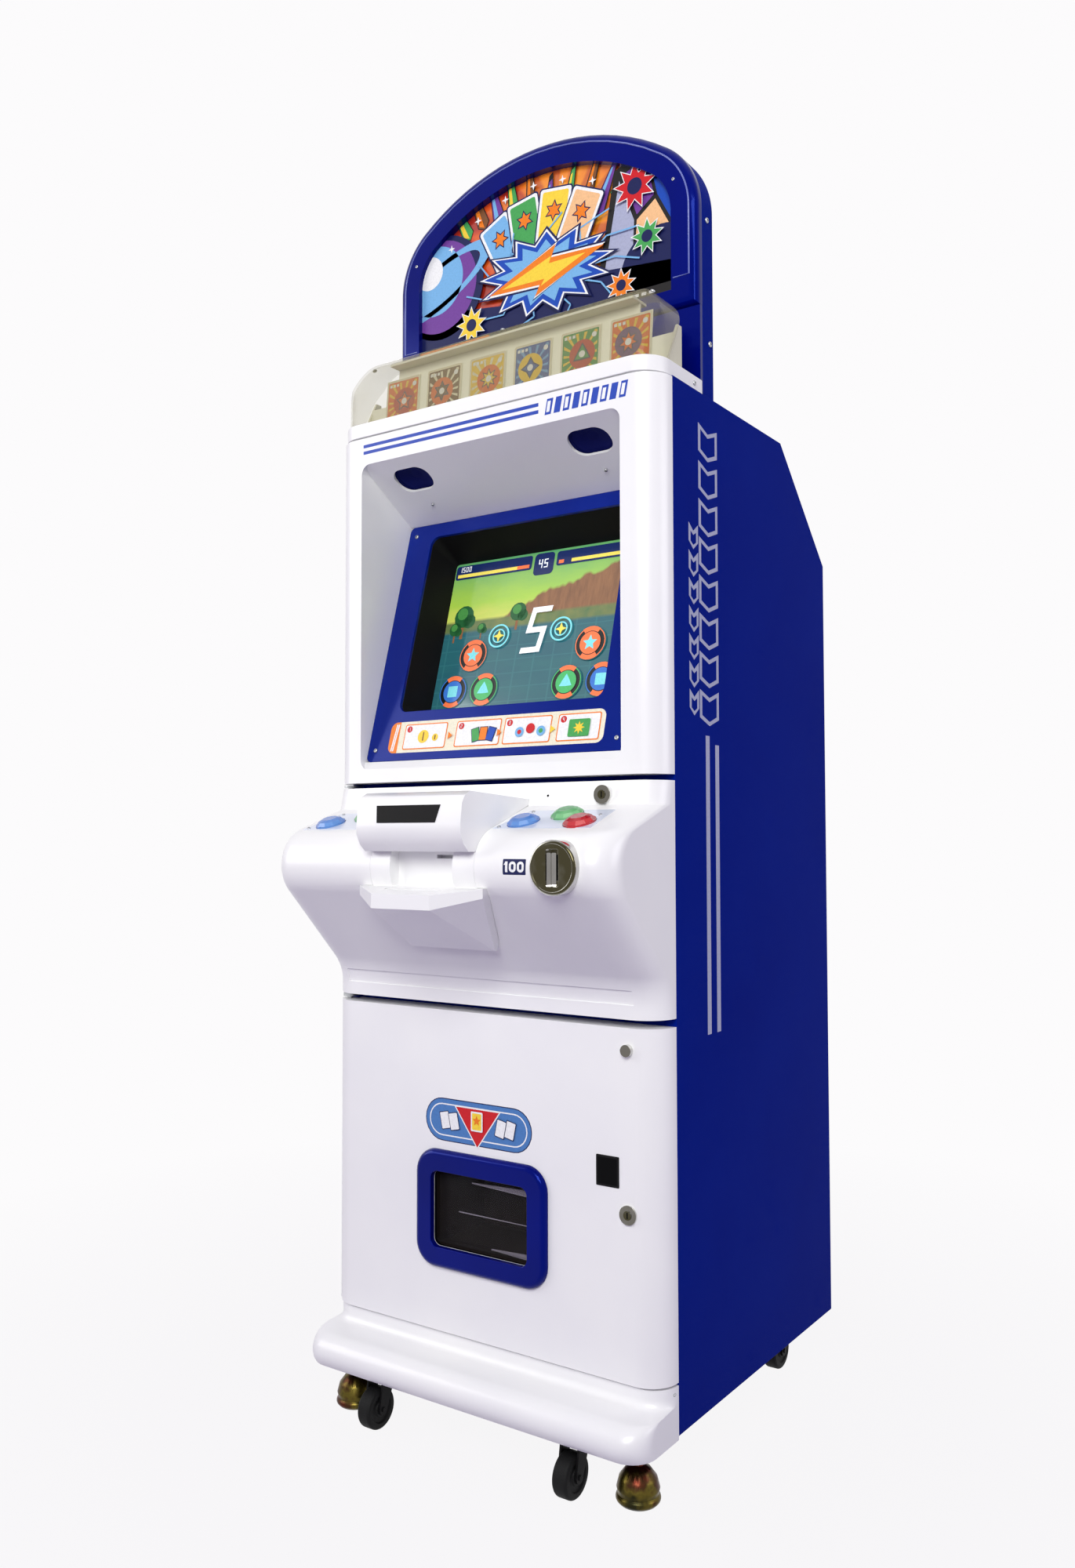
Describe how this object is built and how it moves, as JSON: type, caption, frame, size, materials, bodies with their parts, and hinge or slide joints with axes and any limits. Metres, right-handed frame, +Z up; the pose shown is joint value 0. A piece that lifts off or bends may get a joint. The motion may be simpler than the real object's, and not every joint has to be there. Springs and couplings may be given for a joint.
{
  "type": "arcade card game machine",
  "caption": "Upright arcade card game cabinet with tilted screen, lit arched sign, coin entry, card scanner, card outlet and hinged front shells on casters",
  "frame": {"origin": "on the floor, under the centre of the whole machine's bounding box", "axes": "+X to the right seen from the front, the front faces -Y, +Z up"},
  "size_m": [0.5, 0.645, 1.6698],
  "materials": {
    "blue_panel": "satin textured paint",
    "blue_gloss": "high gloss moulding",
    "white_shell": "gloss moulded plastic",
    "black_plastic": "satin black",
    "ivory_board": "satin ivory",
    "clear_plastic": "clear moulded plastic",
    "screen_face": "lit display behind glass",
    "printed_card": "gloss printed card",
    "art_panel": "back-lit printed panel",
    "lamp_white": "frosted lamp tube",
    "steel_frame": "grey powder coat",
    "plated_steel": "zinc plated",
    "chrome_metal": "polished chrome",
    "yellow_zinc": "yellow zinc plating",
    "wheel_rubber": "black rubber",
    "circuit_board": "printed circuit board",
    "pale_plate": "pale translucent plastic",
    "button_blue": "gloss translucent blue",
    "button_green": "gloss translucent green",
    "button_red": "gloss translucent red"
  },
  "bodies": {
    "cabinet": {"side_panel_left": "blue_panel", "side_panel_right": "blue_panel", "back_panel": "blue_panel", "top_panel": "blue_panel", "base_frame": "steel_frame", "front_frame": "blue_panel", "inner_shelf": "steel_frame", "upper_bezel": "white_shell", "monitor_panel": "blue_gloss", "monitor_mask": "black_plastic", "monitor_screen": "screen_face", "monitor_housing": "black_plastic", "speakers": "black_plastic", "header_tray": "white_shell", "clear_cover": "clear_plastic", "card_board": "ivory_board", "display_cards": "printed_card", "sign_frame": "blue_gloss", "sign_housing": "blue_panel", "sign_art_panel": "art_panel", "sign_lamp": "lamp_white", "base_cover": "white_shell", "hinge_brackets": "plated_steel", "game_board": "circuit_board", "power_supply": "plated_steel", "power_inlet": "black_plastic", "card_dispenser": "steel_frame", "card_chute": "plated_steel", "cash_box": "steel_frame"},
    "door": {"lower_door": "white_shell", "outlet_frame": "blue_gloss", "card_tray": "black_plastic", "door_lock_barrels": "chrome_metal"},
    "flap": {"outlet_flap": "clear_plastic"},
    "door_cam": {"door_lock_cam": "plated_steel"},
    "control_head": {"control_panel": "white_shell", "button_plates": "pale_plate", "scanner_unit": "white_shell", "scanner_window": "black_plastic", "coin_entry": "chrome_metal", "coin_mechanism": "black_plastic", "panel_lock_barrel": "chrome_metal", "button_switches": "black_plastic"},
    "panel_cam": {"panel_lock_cam": "plated_steel"},
    "left_blue_button": {"button_left_blue": "button_blue"},
    "left_green_button": {"button_left_green": "button_green"},
    "left_red_button": {"button_left_red": "button_red"},
    "right_blue_button": {"button_right_blue": "button_blue"},
    "right_green_button": {"button_right_green": "button_green"},
    "right_red_button": {"button_right_red": "button_red"},
    "fork_front_left": {"caster_fork_front_left": "plated_steel"},
    "wheel_front_left": {"caster_wheel_front_left": "wheel_rubber"},
    "fork_front_right": {"caster_fork_front_right": "plated_steel"},
    "wheel_front_right": {"caster_wheel_front_right": "wheel_rubber"},
    "fork_rear_left": {"caster_fork_rear_left": "plated_steel"},
    "wheel_rear_left": {"caster_wheel_rear_left": "wheel_rubber"},
    "fork_rear_right": {"caster_fork_rear_right": "plated_steel"},
    "wheel_rear_right": {"caster_wheel_rear_right": "wheel_rubber"},
    "foot_left": {"levelling_foot_left": "yellow_zinc"},
    "foot_right": {"levelling_foot_right": "yellow_zinc"}
  },
  "joints": [
    {"name": "door_hinge", "type": "hinge", "parent": "cabinet", "child": "door", "pos_m": [-0.24, -0.1465, 0.129], "axis": [0, 0, -1], "range_deg": [0, 100]},
    {"name": "panel_hinge", "type": "hinge", "parent": "cabinet", "child": "control_head", "pos_m": [-0.24, -0.1465, 0.5345], "axis": [0, 0, -1], "range_deg": [0, 90]},
    {"name": "flap_hinge", "type": "hinge", "parent": "door", "child": "flap", "pos_m": [0, -0.1605, 0.3215], "axis": [1, 0, 0], "range_deg": [0, 70]},
    {"name": "door_lock_turn", "type": "hinge", "parent": "door", "child": "door_cam", "pos_m": [0.208, -0.1525, 0.3165], "axis": [0, 1, 0], "range_deg": [0, 90]},
    {"name": "panel_lock_turn", "type": "hinge", "parent": "control_head", "child": "panel_cam", "pos_m": [0.182, -0.1525, 0.7895], "axis": [0, 1, 0], "range_deg": [0, 90]},
    {"name": "press_left_blue", "type": "slide", "parent": "control_head", "child": "left_blue_button", "axis": [0, 0.342, -0.9397], "range_m": [0, 0.0035], "stiffness_N_per_m": 250, "springref_m": -0.002},
    {"name": "press_left_green", "type": "slide", "parent": "control_head", "child": "left_green_button", "axis": [0, 0.342, -0.9397], "range_m": [0, 0.0035], "stiffness_N_per_m": 250, "springref_m": -0.002},
    {"name": "press_left_red", "type": "slide", "parent": "control_head", "child": "left_red_button", "axis": [0, 0.342, -0.9397], "range_m": [0, 0.0035], "stiffness_N_per_m": 250, "springref_m": -0.002},
    {"name": "press_right_blue", "type": "slide", "parent": "control_head", "child": "right_blue_button", "axis": [0, 0.342, -0.9397], "range_m": [0, 0.0035], "stiffness_N_per_m": 250, "springref_m": -0.002},
    {"name": "press_right_green", "type": "slide", "parent": "control_head", "child": "right_green_button", "axis": [0, 0.342, -0.9397], "range_m": [0, 0.0035], "stiffness_N_per_m": 250, "springref_m": -0.002},
    {"name": "press_right_red", "type": "slide", "parent": "control_head", "child": "right_red_button", "axis": [0, 0.342, -0.9397], "range_m": [0, 0.0035], "stiffness_N_per_m": 250, "springref_m": -0.002},
    {"name": "swivel_front_left", "type": "hinge", "parent": "cabinet", "child": "fork_front_left", "pos_m": [-0.146, -0.1825, 0.07], "axis": [0, 0, 1], "continuous": true},
    {"name": "swivel_front_right", "type": "hinge", "parent": "cabinet", "child": "fork_front_right", "pos_m": [0.146, -0.1825, 0.07], "axis": [0, 0, 1], "continuous": true},
    {"name": "swivel_rear_left", "type": "hinge", "parent": "cabinet", "child": "fork_rear_left", "pos_m": [-0.195, 0.2675, 0.07], "axis": [0, 0, 1], "continuous": true},
    {"name": "swivel_rear_right", "type": "hinge", "parent": "cabinet", "child": "fork_rear_right", "pos_m": [0.195, 0.2675, 0.07], "axis": [0, 0, 1], "continuous": true},
    {"name": "roll_front_left", "type": "hinge", "parent": "fork_front_left", "child": "wheel_front_left", "pos_m": [-0.146, -0.1965, 0.025], "axis": [1, 0, 0], "continuous": true},
    {"name": "roll_front_right", "type": "hinge", "parent": "fork_front_right", "child": "wheel_front_right", "pos_m": [0.146, -0.1965, 0.025], "axis": [1, 0, 0], "continuous": true},
    {"name": "roll_rear_left", "type": "hinge", "parent": "fork_rear_left", "child": "wheel_rear_left", "pos_m": [-0.195, 0.2535, 0.025], "axis": [1, 0, 0], "continuous": true},
    {"name": "roll_rear_right", "type": "hinge", "parent": "fork_rear_right", "child": "wheel_rear_right", "pos_m": [0.195, 0.2535, 0.025], "axis": [1, 0, 0], "continuous": true},
    {"name": "foot_turn_left", "type": "hinge", "parent": "cabinet", "child": "foot_left", "pos_m": [-0.213, -0.1605, 0.03], "axis": [0, 0, 1], "continuous": true},
    {"name": "foot_turn_right", "type": "hinge", "parent": "cabinet", "child": "foot_right", "pos_m": [0.213, -0.1605, 0.03], "axis": [0, 0, 1], "continuous": true}
  ]
}
